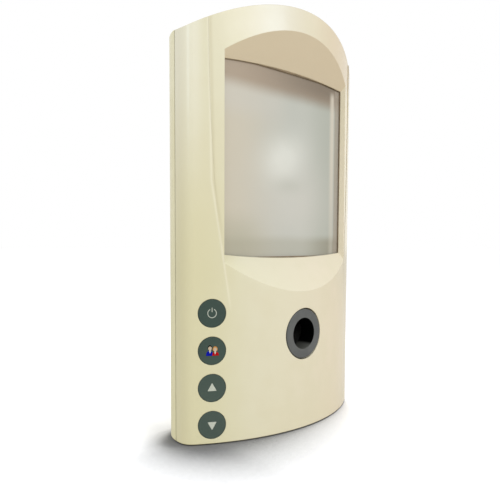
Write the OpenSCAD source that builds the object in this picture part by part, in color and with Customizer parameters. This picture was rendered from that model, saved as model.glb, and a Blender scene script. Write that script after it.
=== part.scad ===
// Upper body tanning lamp: a tall convex housing with a frosted lamp window,
// a swivelling air nozzle and a column of push buttons.
// Millimetres, +Z up, front faces -Y, origin at the middle of the footprint on the floor.

/* [Housing] */
// overall width
body_w = 257; // [245:1:270]
// overall depth, front apex to flat back
body_d = 98; // [94:1:106]
// height of the middle of the roof above the floor
body_h = 439; // [430:1:460]
// radius of the convex front in plan
front_r = 221; // [215:1:230]
// radius of the front corners in plan
corner_r = 15; // [12:0.5:18]
// radius of the arched roof seen from the front
roof_r = 243; // [235:1:300]
// wall thickness of both shells
wall = 2.6; // [2:0.1:3]
// height of the rubber feet under the shells
base_gap = 1.5; // [1:0.1:3]
// plane of the joint between the front and rear shells
seam_y = 9; // [7:0.5:11]
// width of the joint between the shells
seam_gap = 1; // [0.8:0.1:1.5]

/* [Window] */
// distance from each side of the housing to the clear width of the pane
side_margin = 38.4; // [37.2:0.1:40]
// depth of the pane edges behind the front surface beside them
pane_setback = 7.3; // [6.8:0.1:8.2]
// how far the pane bows forward in the middle
pane_bow = 2.8; // [2:0.1:4]
// thickness of the pane
pane_t = 4; // [3:0.1:5]
// thickness of the pane gasket
gasket_t = 1.5; // [1.2:0.1:1.8]
// hidden border of the pane behind its frame
pane_lap = 4.2; // [3.5:0.1:5]
// lowest point of the sill at the front
sill_z = 148.5; // [145:0.5:152]
// height of the brow, from the soffit at the front up to the top of the roof
brow = 21.7; // [20:0.1:28]
// rise of soffit and sill for each millimetre of depth
splay = 1.47; // [1.3:0.01:1.6]
// widening of the side jambs for each millimetre of depth
jamb_taper = 0.8; // [0.7:0.01:0.9]

/* [Front panel step] */
// height of the step from the flanks down to the front panel, at the top
step_h = 1; // [0.6:0.1:1.2]
// distance from each side of the housing to the front panel, at the top
panel_in = 19; // [16.5:0.5:21.5]
// radius of the panel edge seen from the front
panel_edge_r = 2350; // [2000:50:2700]
// height where the step fades out
fade_z = 135; // [130:1:145]

/* [Buttons] */
// diameter of a button cap
button_d = 27.7; // [26:0.1:28.4]
// distance between button centres
button_pitch = 37; // [36:0.5:38]
// height of the lowest button
button_z = 20; // [19.6:0.1:22]
// distance of the button column from the side of the housing
button_in = 22.1; // [21.5:0.1:24.5]
// travel of a button
button_travel = 1.5; // [1:0.1:1.6]
// gap between a cap and its hole
button_gap = 0.35; // [0.3:0.05:0.6]
// depth of the guide plate behind the front surface
guide_depth = 10; // [9:0.5:11]
// depth of the control board behind the front surface
board_depth = 22; // [21:0.5:24]

/* [Nozzle] */
// height of the nozzle axis
nozzle_z = 103; // [102:0.5:105]
// diameter of the opening in the front panel
nozzle_open_d = 55.4; // [55.2:0.1:56]
// diameter of the swivelling ball
ball_d = 54.6; // [54:0.1:54.6]
// depth of the ball centre behind the front apex
ball_depth = 8; // [7.6:0.1:8.4]
// diameter of the air bore
bore_d = 33.2; // [31:0.2:35.6]
// depth of the flat face of the ball behind the front apex
face_in = 1; // [0.6:0.1:1.4]
// radial clearance of a running fit
run_gap = 0.06; // [0.04:0.01:0.09]
// outside diameter of the turning collar
collar_d = 63; // [62.4:0.1:64]

/* [Fan] */
// side of the square fan frame
fan_size = 80; // [76:1:82]
// thickness of the fan frame
fan_t = 25; // [22:0.5:27]
// depth of the fan behind the front apex
fan_depth = 48; // [46:0.5:50]
// pitch of the fan blades
blade_pitch = 40; // [30:1:45]

/* [Lamp chamber] */
// radius of the reflector in plan
reflector_r = 115; // [112:1:120]
// distance of the reflector from the back of the housing
reflector_back = 15; // [14:0.5:17]
// diameter of the ultraviolet tube
tube_d = 18; // [16:0.5:20]
// length of the ultraviolet tube
tube_len = 96; // [90:1:104]

/* [Mounting] */
// spacing of the threaded inserts on the back, both ways
insert_pitch = 100; // [90:5:110]
// height of the middle of the insert pattern
insert_z = 282; // [275:1:290]
// hole diameter of a threaded insert
insert_hole_d = 4.2; // [4:0.1:4.4]
// bore of the cord gland
gland_bore_d = 7.2; // [6:0.2:8]
// height of the cord gland
gland_z = 122; // [119:0.5:124]
// distance of the cord gland from the middle
gland_x = 62; // [60:0.5:64]
// diameter of a rubber foot
foot_d = 18; // [14:0.5:20]

/* [Hidden] */
$fn = 96;
wide_fn = 720;
pane_fn = 3600;

eps = 0.01;
over = 1;
half_w = body_w / 2;
front_y = -body_d / 2;
back_y = body_d / 2;
back_in = back_y - wall;
floor_in = base_gap + wall;
axis_y = front_y + front_r;
corner_x = half_w - corner_r;
corner_y = axis_y - sqrt(pow(front_r - corner_r, 2) - pow(corner_x, 2));
rear_over = 0.6;
rear_r = back_y - corner_y + rear_over;
rear_x = half_w - rear_r;
roof_z = body_h - roof_r;
front_end = seam_y - seam_gap / 2;
rear_start = seam_y + seam_gap / 2;
seam_recess = 0.7;

pane_open_w = body_w - 2 * side_margin;
pane_w = pane_open_w + 2 * pane_lap;
pane_edge_y = axis_y - sqrt(pow(front_r, 2) - pow(pane_w / 2, 2)) + pane_setback;
pane_depth = pane_edge_y - front_y;
soffit_z = body_h - brow;
panel_x = half_w - panel_in;
pane_y = pane_edge_y - pane_bow;
pane_r = (pow(pane_open_w / 2, 2) + pow(pane_bow, 2)) / (2 * pane_bow);
pane_bottom = sill_z + splay * (pane_y - front_y) - pane_lap;
pane_top = soffit_z - splay * (pane_y - front_y) + pane_lap;
flange_t = 2.2;
flange_lap = 12;
retainer_t = 1.5;
gasket_inset = 0.8;
gasket_w = pane_lap - gasket_inset;
retainer_lap = 5.5;
retainer_span = pane_open_w * 0.38;

screw_r = 1.5;
pilot_r = 1.55;
head_r = 2.8;
head_h = 1.8;
through_r = 1.9;
bite = 5;
guide_bite = 4;
through_spare = 0.4;
head_lift = 0.15;
boss_wall = 1;
pilot_spare = 1;
case_bite = 12;
post_bite = 10;
skin = 0.6;

button_x = half_w - button_in;
button_r = button_d / 2;
button_hole_r = button_r + button_gap;
button_a = asin(button_x / front_r);
button_y = axis_y - front_r * cos(button_a);
cap_len = 6.5;
cap_flush = 0.2;
tab_start = wall + 1;
tab_t = 1.2;
tab_r = button_hole_r + 1.4;
tab_h = 18;
stem_r = 3;
guide_t = 2.5;
guide_w = 34;
guide_top = 16;
notch_gap = 0.5;
guide_low = floor_in + 3;
guide_high = button_z + 3 * button_pitch + guide_top;
post_r = 3.2;
board_t = 1.6;
board_w = 30;
board_screw_x = 11;
board_screw_in = 6;
switch_h = 3.2;
plunger_h = 0.5;
plunger_r = 1.7;
switch_w = 6;
press_gap = button_travel + 0.3;
stem_end = board_depth - switch_h - plunger_h - press_gap;

ball_r = ball_d / 2;
open_r = nozzle_open_d / 2;
bore_r = bore_d / 2;
bore_flare_r = bore_r + 6;
ball_tail = 12;
collar_r = collar_d / 2;
collar_in = ball_r + 0.3;
seat_out = collar_r + 8;
lip_depth = 5.2;
boss_depth = 9;
collar_gap = 0.3;
seat_end = 20;
retain_t = 2;
retain_in = ball_r - 1.8;
pin_r = 2;
pin_bite = 5;
pin_in = 0.5;
collar_room = 0.4;
seat_screw_pcr = collar_r + 4;
duct_t = 1.5;
duct_r = retain_in + 1;
duct_flange = 3.4;
duct_start = seat_end + retain_t;

fan_y = front_y + fan_depth;
fan_back = fan_y + fan_t;
fan_bore_r = fan_size / 2 - 2;
fan_hole = fan_size / 2 - 4.25;
fan_hub_r = 14.5;
fan_wall = 2.5;
strut_w = 4;
fan_in = 3;
fan_room = 0.6;
blade_tip_r = fan_bore_r - 1.5;
blade_t = 1.6;
blade_chord = 20;
blade_count = 7;
axle_r = 2;
fan_post_r = 4.2;
vent_w = fan_size * 0.74;
vent_h = 4;
vent_pitch = 7;
vent_count = 9;
vent_low = nozzle_z - (vent_count - 1) / 2 * vent_pitch - vent_h / 2;

reflector_t = 1.2;
reflector_y = back_y - reflector_back - reflector_r;
reflector_front = pane_edge_y + pane_t + retainer_t + 5;
reflector_low = pane_bottom + 6;
reflector_high = pane_top - 6;
lamp_mid_z = (sill_z + soffit_z) / 2;
lamp_y = (reflector_front + back_y - reflector_back) / 2 - 8;
tube_r = tube_d / 2;
cap_r = tube_r - 2;
lamp_cap_len = 14;
holder_w = 2 * tube_r;
holder_in = 2;
holder_wall = 3;
holder_h = lamp_cap_len - 2 * holder_in;
tube_wall = 1.5;
tube_end = 2;
reflector_screw_in = 7;
reflector_screw_z = [reflector_low + reflector_screw_in, reflector_high - reflector_screw_in];
reflector_post_r = 6;

shield_rise = 30;
shield_z = gland_z + shield_rise;
shield_t = 1.2;
shield_flange = 14;
shield_reach = 17;
shield_front = seam_y - shield_reach;
shield_screw_x = 55;

case_in = 12.5;
case_x = half_w - case_in;
case_mid = 215;
case_top = 59;
case_z = [button_z + button_pitch / 2, case_mid, body_h - case_top];
case_r = 4.5;
case_cup_r = 3.2;
case_cup = 10;
case_seat = rear_start + case_cup;
insert_r = 3.5;
insert_len = 10;
insert_boss_r = 7.5;
pocket_r = 13;
pocket_depth = 7;
pocket_floor = back_y - pocket_depth;
gland_r = 6;
gland_hex_r = 9.5;
gland_hex_t = 4;
gland_tail = 11;
gland_fit = 0.1;
gland_in = 1;
foot_front = [62, -27];
foot_rear = [80, 30];
back_room = 4.4;
ballast_box = [44, 30, 52];
ballast_foot_t = 3;
ballast_step = 4;
ballast_lip = 1;
ballast_x = 18;
ballast_at = [ballast_x, back_in - ballast_box[1] - back_room];
blade_tab = [6, 1, 9];
capacitor_r = 15;
capacitor_h = 50;
capacitor_x = 34;
capacitor_at = [-capacitor_x, back_in - capacitor_r - back_room];
igniter_box = [17, 20, 40];
igniter_x = 76;
igniter_at = [-igniter_x, back_in - igniter_box[1] - back_room];
block_box = [24, 13, 14];
block_at = [42, 84];
block_ways = 3;
block_screw_r = 2.4;
block_wire_r = 2;
block_sink = 5;

// footprint of the housing, shrunk by t on all sides
module plan(t) {
  ux = corner_x / (front_r - corner_r);
  uy = (corner_y - axis_y) / (front_r - corner_r);
  far = 2 * front_r;
  lap = corner_r / 2;
  intersection() {
    translate([0, axis_y])
      circle(front_r - t, $fn = wide_fn);
    polygon([
      [-corner_x + lap * ux, corner_y - lap * uy],
      [-far * ux, axis_y + far * uy],
      [far * ux, axis_y + far * uy],
      [corner_x - lap * ux, corner_y - lap * uy]]);
  }
  for (s = [-1, 1])
    translate([s * corner_x, corner_y])
      circle(corner_r - t);
  intersection() {
    union() {
      for (s = [-1, 1])
        translate([s * rear_x, corner_y])
          circle(rear_r - t);
      translate([-rear_x, corner_y - lap])
        square([2 * rear_x, body_d]);
    }
    translate([-far, corner_y])
      square([2 * far, back_y - t - corner_y]);
  }
}

// housing body with its arched roof, shrunk by t
module body(t) {
  arch_r = roof_r - t;
  intersection() {
    translate([0, 0, base_gap + t])
      linear_extrude(height = body_h)
        plan(t);
    translate([0, 0, roof_z])
      rotate([90, 0, 0])
        linear_extrude(height = 2 * body_d, center = true) {
          circle(arch_r, $fn = wide_fn);
          translate([-arch_r, -body_h])
            square([2 * arch_r, body_h]);
        }
  }
}

// slab between two planes across the depth
module slab(y0, y1) {
  translate([-body_w, y0, -body_h])
    cube([2 * body_w, y1 - y0, 3 * body_h]);
}

// round bar along +Y
module bar(r, y0, y1) {
  translate([0, y0, 0])
    rotate([-90, 0, 0])
      cylinder(r = r, h = y1 - y0);
}

// pan head screw along +Y with its head bearing on y = 0
module screw(len) {
  bar(head_r, -head_h, 0);
  bar(screw_r, -eps, len);
}

// tapering window opening, grown by m
module window_prism(m) {
  y0 = front_y - 5 * over;
  y1 = pane_edge_y + pane_t;
  rise = m * sqrt(1 + splay * splay);
  jamb0 = pane_open_w / 2 + jamb_taper * (pane_edge_y - y0) + m;
  jamb1 = pane_open_w / 2 + jamb_taper * (pane_edge_y - y1) + m;
  intersection() {
    rotate([90, 0, 90])
      linear_extrude(height = 2 * body_w, center = true)
        polygon([
          [y0, sill_z + splay * (y0 - front_y) - rise],
          [y1, sill_z + splay * (y1 - front_y) - rise],
          [y1, soffit_z - splay * (y1 - front_y) + rise],
          [y0, soffit_z - splay * (y0 - front_y) + rise]]);
    linear_extrude(height = body_h)
      polygon([[-jamb0, y0], [jamb0, y0], [jamb1, y1], [-jamb1, y1]]);
  }
}

// curved layer that follows the pane, from radius offset a out to b
module pane_layer(a, b, w, z0, z1) {
  intersection() {
    translate([0, pane_y + pane_r, z0])
      linear_extrude(height = z1 - z0)
        difference() {
          circle(pane_r + b, $fn = pane_fn);
          circle(pane_r + a, $fn = pane_fn);
        }
    translate([-w / 2, pane_y - pane_depth, z0 - over])
      cube([w, 2 * pane_depth, z1 - z0 + 2 * over]);
  }
}

// places children at the screws of the pane retainer
module at_retainer_screws() {
  for (x = [-retainer_span, 0, retainer_span])
    for (z = [pane_bottom - retainer_lap, pane_top + retainer_lap])
      translate([x, pane_y + pane_r - sqrt(pow(pane_r - pane_t, 2) - x * x), z])
        children();
}

// thin wedge taken off the front between the flanks
module panel_wedge() {
  lean = atan(step_h / (soffit_z - fade_z));
  intersection() {
    rotate([90, 0, 0])
      linear_extrude(height = body_d)
        intersection() {
          translate([panel_edge_r - panel_x, soffit_z])
            circle(panel_edge_r, $fn = pane_fn);
          translate([panel_x - panel_edge_r, soffit_z])
            circle(panel_edge_r, $fn = pane_fn);
        }
    difference() {
      translate([-half_w, front_y - 5 * over, fade_z - 5 * over])
        cube([body_w, back_y, body_h]);
      translate([0, axis_y, fade_z])
        rotate([-lean, 0, 0])
          translate([0, 0, -body_h])
            cylinder(r = front_r, h = 3 * body_h, $fn = wide_fn);
    }
  }
}

// places children on the front surface at button i, local +Y pointing inwards
module at_button(i) {
  translate([-button_x, button_y, button_z + i * button_pitch])
    rotate([0, 0, -button_a])
      children();
}

// places children at the three guide screws between the buttons
module at_guide_screws() {
  for (i = [0.5, 1.5, 2.5])
    at_button(i)
      children();
}

// places children at the four board screws
module at_board_screws() {
  for (x = [-board_screw_x, board_screw_x])
    for (z = [guide_low + board_screw_in, guide_high - board_screw_in])
      at_button(0)
        translate([x, 0, z - button_z])
          children();
}

// places children on the nozzle axis, y counted from the front apex
module at_nozzle() {
  translate([0, front_y, nozzle_z])
    children();
}

// places children at the screws of the nozzle seat
module at_seat_screws() {
  for (a = [90, 210, 330])
    at_nozzle()
      translate([seat_screw_pcr * cos(a), 0, seat_screw_pcr * sin(a)])
        children();
}

// places children at the corners of the fan
module at_fan_corners() {
  for (x = [-fan_hole, fan_hole])
    for (z = [-fan_hole, fan_hole])
      translate([x, 0, nozzle_z + z])
        children();
}

// places children at the case screws
module at_case_screws() {
  for (x = [-case_x, case_x])
    for (z = case_z)
      translate([x, 0, z])
        children();
}

// places children at the threaded inserts
module at_inserts() {
  for (x = [-insert_pitch / 2, insert_pitch / 2])
    for (z = [-insert_pitch / 2, insert_pitch / 2])
      translate([x, 0, insert_z + z])
        children();
}

// convex front half with the window recess, nozzle opening and button holes
module front_shell() {
  color("#e3dcc5")
    difference() {
      union() {
        difference() {
          body(0);
          body(wall);
          slab(front_end, 2 * body_d);
        }
        intersection() {
          body(0);
          difference() {
            union() {
              window_prism(wall);
              pane_layer(gasket_t, gasket_t + flange_t, pane_w,
                pane_bottom - flange_lap, pane_top + flange_lap);
            }
            translate([0, pane_y + pane_r, 0])
              cylinder(r = pane_r + gasket_t, h = body_h, $fn = pane_fn);
          }
        }
        difference() {
          at_retainer_screws()
            bar(head_r + boss_wall, -pane_t - gasket_t - flange_t / 2, over);
          translate([0, pane_y + pane_r, 0])
            cylinder(r = pane_r - pane_t, h = body_h, $fn = pane_fn);
        }
        intersection() {
          body(0);
          at_nozzle()
            bar(seat_out, 0, boss_depth);
        }
        intersection() {
          body(wall / 2);
          at_guide_screws()
            bar(post_r, -wall, guide_depth);
        }
        intersection() {
          body(wall / 2);
          at_case_screws()
            bar(case_r, front_y, front_end);
        }
      }
      window_prism(0);
      panel_wedge();
      at_nozzle() {
        bar(open_r, -wall, boss_depth + over);
        bar(collar_r + collar_room, lip_depth, boss_depth + over);
      }
      at_seat_screws()
        bar(pilot_r, boss_depth - bite - pilot_spare, boss_depth + over);
      for (i = [0 : 3])
        at_button(i)
          bar(button_hole_r, -wall, 2 * wall);
      at_guide_screws()
        bar(pilot_r, wall + pilot_spare, guide_depth + over);
      at_retainer_screws()
        bar(pilot_r, -pane_t - gasket_t, 2 * over);
      at_case_screws()
        bar(pilot_r, seam_y - case_bite - 2 * pilot_spare, seam_y);
    }
}

// rear half with the flat back, air intake and fastening points
module rear_shell() {
  color("#d6d1b4")
    difference() {
      union() {
        difference() {
          body(0);
          body(wall);
          slab(-2 * body_d, rear_start);
        }
        intersection() {
          body(0);
          union() {
            at_case_screws()
              bar(case_r, rear_start, back_y);
            at_fan_corners()
              bar(fan_post_r, fan_back, back_y - wall / 2);
            at_inserts()
              bar(insert_boss_r, back_y - insert_len - wall, back_y - wall / 2);
            translate([gland_x, 0, gland_z])
              bar(pocket_r + wall, pocket_floor - wall, back_y);
          }
        }
      }
      at_case_screws() {
        bar(through_r, seam_y - over, back_y + over);
        bar(case_cup_r, case_seat, back_y + over);
      }
      at_fan_corners()
        bar(pilot_r, fan_back - over, fan_back + post_bite + 2 * pilot_spare);
      at_inserts()
        bar(insert_r, back_y - insert_len, back_y + over);
      translate([gland_x, 0, gland_z]) {
        bar(pocket_r, pocket_floor, back_y + over);
        bar(gland_r + gland_fit, pocket_floor - 2 * wall, back_y);
      }
      for (i = [0 : vent_count - 1])
        translate([-vent_w / 2, back_in - over, vent_low + i * vent_pitch])
          cube([vent_w, wall + 2 * over, vent_h]);
      for (x = [-shield_screw_x, shield_screw_x])
        translate([x, 0, shield_z + shield_flange / 2])
          bar(pilot_r, back_in - over, back_y - skin);
      for (z = reflector_screw_z)
        translate([0, 0, z])
          bar(pilot_r, back_in - over, back_y - skin);
    }
}

// dark strip recessed in the joint between the shells
module seam_gasket() {
  color("#3a3a36")
    intersection() {
      difference() {
        body(seam_recess);
        body(wall);
      }
      slab(front_end, rear_start);
    }
}

// four rubber feet stuck under the base
module feet() {
  color("#2b2b2b")
    for (s = [-1, 1])
      for (p = [foot_front, foot_rear])
        translate([s * p[0], p[1], 0])
          cylinder(d = foot_d, h = base_gap);
}

// bowed frosted pane
module window_pane() {
  color("#c8c6bc")
    pane_layer(-pane_t, 0, pane_w, pane_bottom, pane_top);
}

// soft frame between the recess and the pane
module pane_gasket() {
  color("#3c3630")
    difference() {
      pane_layer(0, gasket_t, pane_w, pane_bottom, pane_top);
      translate([-pane_open_w / 2 - gasket_inset, -body_d, pane_bottom + gasket_w])
        cube([pane_open_w + 2 * gasket_inset, 2 * body_d, pane_top - pane_bottom - 2 * gasket_w]);
    }
}

// sheet metal frame that holds the pane from behind
module pane_retainer() {
  color("#b9bcbf")
    difference() {
      pane_layer(-pane_t - retainer_t, -pane_t, pane_w,
        pane_bottom - flange_lap, pane_top + flange_lap);
      translate([-pane_open_w / 2, -body_d, pane_bottom + pane_lap])
        cube([pane_open_w, 2 * body_d, pane_top - pane_bottom - 2 * pane_lap]);
      at_retainer_screws()
        bar(through_r, -over, 2 * retainer_t);
    }
}

// screws of the pane retainer
module retainer_screws() {
  color("#9a9da0")
    at_retainer_screws()
      translate([0, retainer_t + head_lift, 0])
        mirror([0, 1, 0])
          screw(retainer_t + bite);
}

// polished trough behind the lamp tube, with closed ends
module reflector() {
  color("#d9dcdf")
    difference() {
      intersection() {
        translate([0, reflector_y, reflector_low])
          difference() {
            cylinder(r = reflector_r, h = reflector_high - reflector_low, $fn = wide_fn);
            translate([0, 0, reflector_t])
              cylinder(r = reflector_r - reflector_t, $fn = wide_fn,
                h = reflector_high - reflector_low - 2 * reflector_t);
          }
        slab(reflector_front, back_y);
      }
      for (z = reflector_screw_z)
        translate([0, 0, z])
          bar(through_r, 0, back_y);
    }
}

// spacers between the back wall and the reflector
module reflector_posts() {
  color("#8f9396")
    difference() {
      for (z = reflector_screw_z)
        translate([0, 0, z])
          bar(reflector_post_r, back_y - reflector_back - over, back_in);
      translate([0, reflector_y, 0])
        cylinder(r = reflector_r, h = body_h, $fn = wide_fn);
      for (z = reflector_screw_z)
        translate([0, 0, z])
          bar(through_r, 0, back_y);
    }
}

// screws through the reflector and its spacers into the back wall
module reflector_screws() {
  color("#9a9da0")
    for (z = reflector_screw_z)
      translate([0, back_y - reflector_back - reflector_t - head_lift, z])
        screw(reflector_back + reflector_t - skin - through_spare);
}

// quartz tube standing in the trough
module lamp_tube() {
  color("#e6e8ee")
    translate([0, lamp_y, lamp_mid_z - tube_len / 2])
      difference() {
        cylinder(r = tube_r, h = tube_len);
        translate([0, 0, tube_end])
          cylinder(r = tube_r - tube_wall, h = tube_len - 2 * tube_end);
      }
}

// ceramic ends of the tube
module lamp_caps() {
  color("#efece4")
    for (z = [lamp_mid_z - tube_len / 2 - lamp_cap_len, lamp_mid_z + tube_len / 2])
      translate([0, lamp_y, z])
        cylinder(r = cap_r, h = lamp_cap_len);
}

// sockets that carry the tube ends off the reflector
module lamp_holders() {
  color("#cfcabd")
    difference() {
      for (z = [lamp_mid_z - tube_len / 2 - holder_h - holder_in,
                lamp_mid_z + tube_len / 2 + holder_in])
        intersection() {
          translate([-holder_w / 2, lamp_y - cap_r - holder_wall, z])
            cube([holder_w, body_d, holder_h]);
          translate([0, reflector_y, 0])
            cylinder(r = reflector_r - reflector_t - run_gap, h = body_h, $fn = wide_fn);
        }
      translate([0, lamp_y, 0])
        cylinder(r = cap_r + run_gap, h = body_h);
    }
}

// folded plate between the lamp chamber and the electrics
module heat_shield() {
  color("#b4b8bb")
    difference() {
      union() {
        translate([-rear_x, shield_front, shield_z])
          cube([2 * rear_x, back_in - shield_front, shield_t]);
        translate([-rear_x, back_in - shield_t, shield_z])
          cube([2 * rear_x, shield_t, shield_flange]);
      }
      for (x = [-shield_screw_x, shield_screw_x])
        translate([x, 0, shield_z + shield_flange / 2])
          bar(through_r, 0, back_y);
    }
}

// screws of the heat shield
module shield_screws() {
  color("#9a9da0")
    for (x = [-shield_screw_x, shield_screw_x])
      translate([x, back_in - shield_t, shield_z + shield_flange / 2])
        screw(shield_t + wall - skin - through_spare);
}

// fixed ring in which the nozzle collar turns
module nozzle_seat() {
  color("#4a4c4c")
    difference() {
      at_nozzle()
        bar(seat_out, boss_depth, seat_end);
      at_nozzle()
        bar(collar_r + run_gap, 0, seat_end + over);
      at_seat_screws()
        bar(through_r, 0, seat_end + over);
    }
}

// ring that keeps the collar in its seat
module nozzle_retainer() {
  color("#55585a")
    difference() {
      at_nozzle()
        bar(seat_out, seat_end, seat_end + retain_t);
      at_nozzle()
        bar(retain_in, 0, seat_end + 2 * retain_t);
      at_seat_screws()
        bar(through_r, 0, seat_end + 2 * retain_t);
    }
}

// screws through the retainer and seat into the front shell
module seat_screws() {
  color("#9a9da0")
    at_seat_screws()
      translate([0, seat_end + retain_t, 0])
        mirror([0, 1, 0])
          screw(seat_end + retain_t - boss_depth + bite);
}

// ring that turns about the nozzle axis and carries the ball on two pins
module nozzle_collar() {
  color("#3f4242")
    at_nozzle()
      difference() {
        bar(collar_r, lip_depth + collar_gap, seat_end - collar_gap);
        bar(collar_in, 0, seat_end + over);
        translate([0, ball_depth, 0])
          rotate([0, 90, 0])
            cylinder(r = pin_r + run_gap, h = body_w, center = true);
      }
}

// swivelling ball with its flat face and air bore
module nozzle_ball() {
  color("#606262")
    at_nozzle()
      difference() {
        intersection() {
          translate([0, ball_depth, 0])
            sphere(r = ball_r);
          bar(2 * ball_r, face_in, ball_depth + ball_tail);
        }
        bar(bore_r, face_in - over, body_d);
        translate([0, ball_depth, 0])
          rotate([-90, 0, 0])
            cylinder(r1 = bore_r, r2 = bore_flare_r, h = ball_tail + eps);
        translate([0, ball_depth, 0])
          rotate([0, 90, 0])
            difference() {
              cylinder(r = pin_r, h = body_w, center = true);
              cylinder(r = 2 * pin_r, h = 2 * (ball_r - pin_bite), center = true);
            }
      }
}

// two pins on which the ball tilts
module trunnion_pins() {
  color("#a5a8ab")
    at_nozzle()
      translate([0, ball_depth, 0])
        rotate([0, 90, 0])
          difference() {
            cylinder(r = pin_r, h = 2 * (collar_r - pin_in), center = true);
            cylinder(r = 2 * pin_r, h = 2 * (ball_r - pin_bite), center = true);
          }
}

// cone that leads the air from the fan to the nozzle
module air_duct() {
  color("#6a6c6c")
    at_nozzle()
      rotate([-90, 0, 0])
        rotate_extrude()
          polygon([
            [duct_r, duct_start],
            [duct_r + duct_flange, duct_start],
            [duct_r + duct_flange, duct_start + duct_t],
            [duct_r + duct_t, duct_start + duct_t],
            [fan_bore_r + duct_t, fan_depth],
            [fan_bore_r, fan_depth]]);
}

// square fan frame with the bearing carried on four struts
module fan_frame() {
  color("#2f3133")
    difference() {
      union() {
        difference() {
          translate([-fan_size / 2, fan_y, nozzle_z - fan_size / 2])
            cube([fan_size, fan_t, fan_size]);
          translate([0, 0, nozzle_z])
            bar(fan_bore_r, fan_y - over, fan_back + over);
        }
        translate([0, 0, nozzle_z])
          bar(fan_hub_r, fan_back - fan_wall, fan_back);
        for (a = [45, 135])
          translate([0, fan_back - fan_wall / 2, nozzle_z])
            rotate([0, a, 0])
              cube([2 * (fan_bore_r + over), fan_wall, strut_w], center = true);
      }
      translate([0, 0, nozzle_z])
        bar(axle_r + run_gap, fan_y, fan_back + over);
      at_fan_corners()
        bar(through_r, fan_y - over, fan_back + over);
    }
}

// hub, blades and axle of the fan
module fan_rotor() {
  hub_start = fan_y + fan_in;
  hub_end = fan_back - fan_wall - fan_room;
  color("#1f2123")
    translate([0, 0, nozzle_z]) {
      bar(fan_hub_r, hub_start, hub_end);
      bar(axle_r, hub_end - over, fan_back - fan_room / 2);
      intersection() {
        difference() {
          bar(blade_tip_r, hub_start, hub_end);
          bar(fan_hub_r - over, hub_start - over, hub_end + over);
        }
        translate([0, (hub_start + hub_end) / 2, 0])
          rotate([-90, 0, 0])
            for (i = [0 : blade_count - 1])
              rotate([0, 0, i * 360 / blade_count])
                rotate([blade_pitch, 0, 0])
                  translate([0, -blade_chord / 2, -blade_t / 2])
                    cube([fan_size, blade_chord, blade_t]);
      }
    }
}

// screws through the fan frame into the posts of the rear shell
module fan_screws() {
  color("#9a9da0")
    at_fan_corners()
      translate([0, fan_y, 0])
        screw(fan_t + post_bite);
}

// round cap with two retaining tabs and a stem
module button(i) {
  at_button(i) {
    intersection() {
      bar(button_r, -wall, cap_len);
      translate([0, front_r, -button_d])
        cylinder(r = front_r - cap_flush, h = 2 * button_d, $fn = wide_fn);
    }
    intersection() {
      bar(tab_r, tab_start, tab_start + tab_t);
      translate([-button_d, 0, -tab_h / 2])
        cube([2 * button_d, cap_len, tab_h]);
    }
    bar(stem_r, cap_len - over, stem_end);
  }
}

// top button
module power_button() {
  color("#44524b")
    button(3);
}

// second button
module program_button() {
  color("#44524b")
    button(2);
}

// third button
module up_button() {
  color("#44524b")
    button(1);
}

// lowest button
module down_button() {
  color("#44524b")
    button(0);
}

// plate that guides the four stems and carries the control board
module button_guide() {
  color("#8b8c86")
    difference() {
      union() {
        at_button(0)
          translate([-guide_w / 2, guide_depth, guide_low - button_z])
            cube([guide_w, guide_t, guide_high - guide_low]);
        at_board_screws()
          bar(post_r, guide_depth + guide_t - over, board_depth);
      }
      for (i = [0 : 3])
        at_button(i)
          bar(stem_r + run_gap, 0, board_depth);
      at_guide_screws()
        bar(through_r, 0, board_depth);
      at_case_screws()
        bar(case_r + notch_gap, front_y, back_y);
      at_board_screws()
        bar(pilot_r, board_depth - bite - 2 * pilot_spare, board_depth + over);
    }
}

// screws of the guide plate
module guide_screws() {
  color("#9a9da0")
    at_guide_screws()
      translate([0, guide_depth + guide_t, 0])
        mirror([0, 1, 0])
          screw(guide_t + guide_bite);
}

// printed board behind the buttons
module control_board() {
  color("#2f6b48")
    difference() {
      at_button(0)
        translate([-board_w / 2, board_depth, guide_low - button_z])
          cube([board_w, board_t, guide_high - guide_low]);
      at_board_screws()
        bar(through_r, 0, board_depth + 2 * board_t);
    }
}

// screws of the control board
module board_screws() {
  color("#9a9da0")
    at_board_screws()
      translate([0, board_depth + board_t, 0])
        mirror([0, 1, 0])
          screw(board_t + bite);
}

// one switch under each stem
module tact_switches() {
  color("#26282a")
    for (i = [0 : 3])
      at_button(i) {
        translate([-switch_w / 2, board_depth - switch_h, -switch_w / 2])
          cube([switch_w, switch_h, switch_w]);
        bar(plunger_r, board_depth - switch_h - plunger_h, board_depth - over);
      }
}

// choke of the lamp circuit, with its mounting feet
module ballast() {
  color("#5d6468")
    translate([ballast_at[0], ballast_at[1], floor_in]) {
      cube([ballast_box[0], ballast_box[1], ballast_foot_t]);
      translate([ballast_step, ballast_lip, 0])
        cube([ballast_box[0] - 2 * ballast_step, ballast_box[1] - 2 * ballast_lip, ballast_box[2]]);
      translate([ballast_lip, ballast_step, ballast_box[2] / 4])
        cube([ballast_box[0] - 2 * ballast_lip, ballast_box[1] - 2 * ballast_step, ballast_box[2] / 2]);
    }
}

// can capacitor with its two terminals
module capacitor() {
  color("#c3c6c8")
    translate([capacitor_at[0], capacitor_at[1], floor_in]) {
      cylinder(r = capacitor_r, h = capacitor_h);
      for (s = [-1, 1])
        translate([s * capacitor_r / 3 - blade_tab[1] / 2, -blade_tab[0] / 2, capacitor_h - over])
          cube([blade_tab[1], blade_tab[0], blade_tab[2]]);
    }
}

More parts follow.
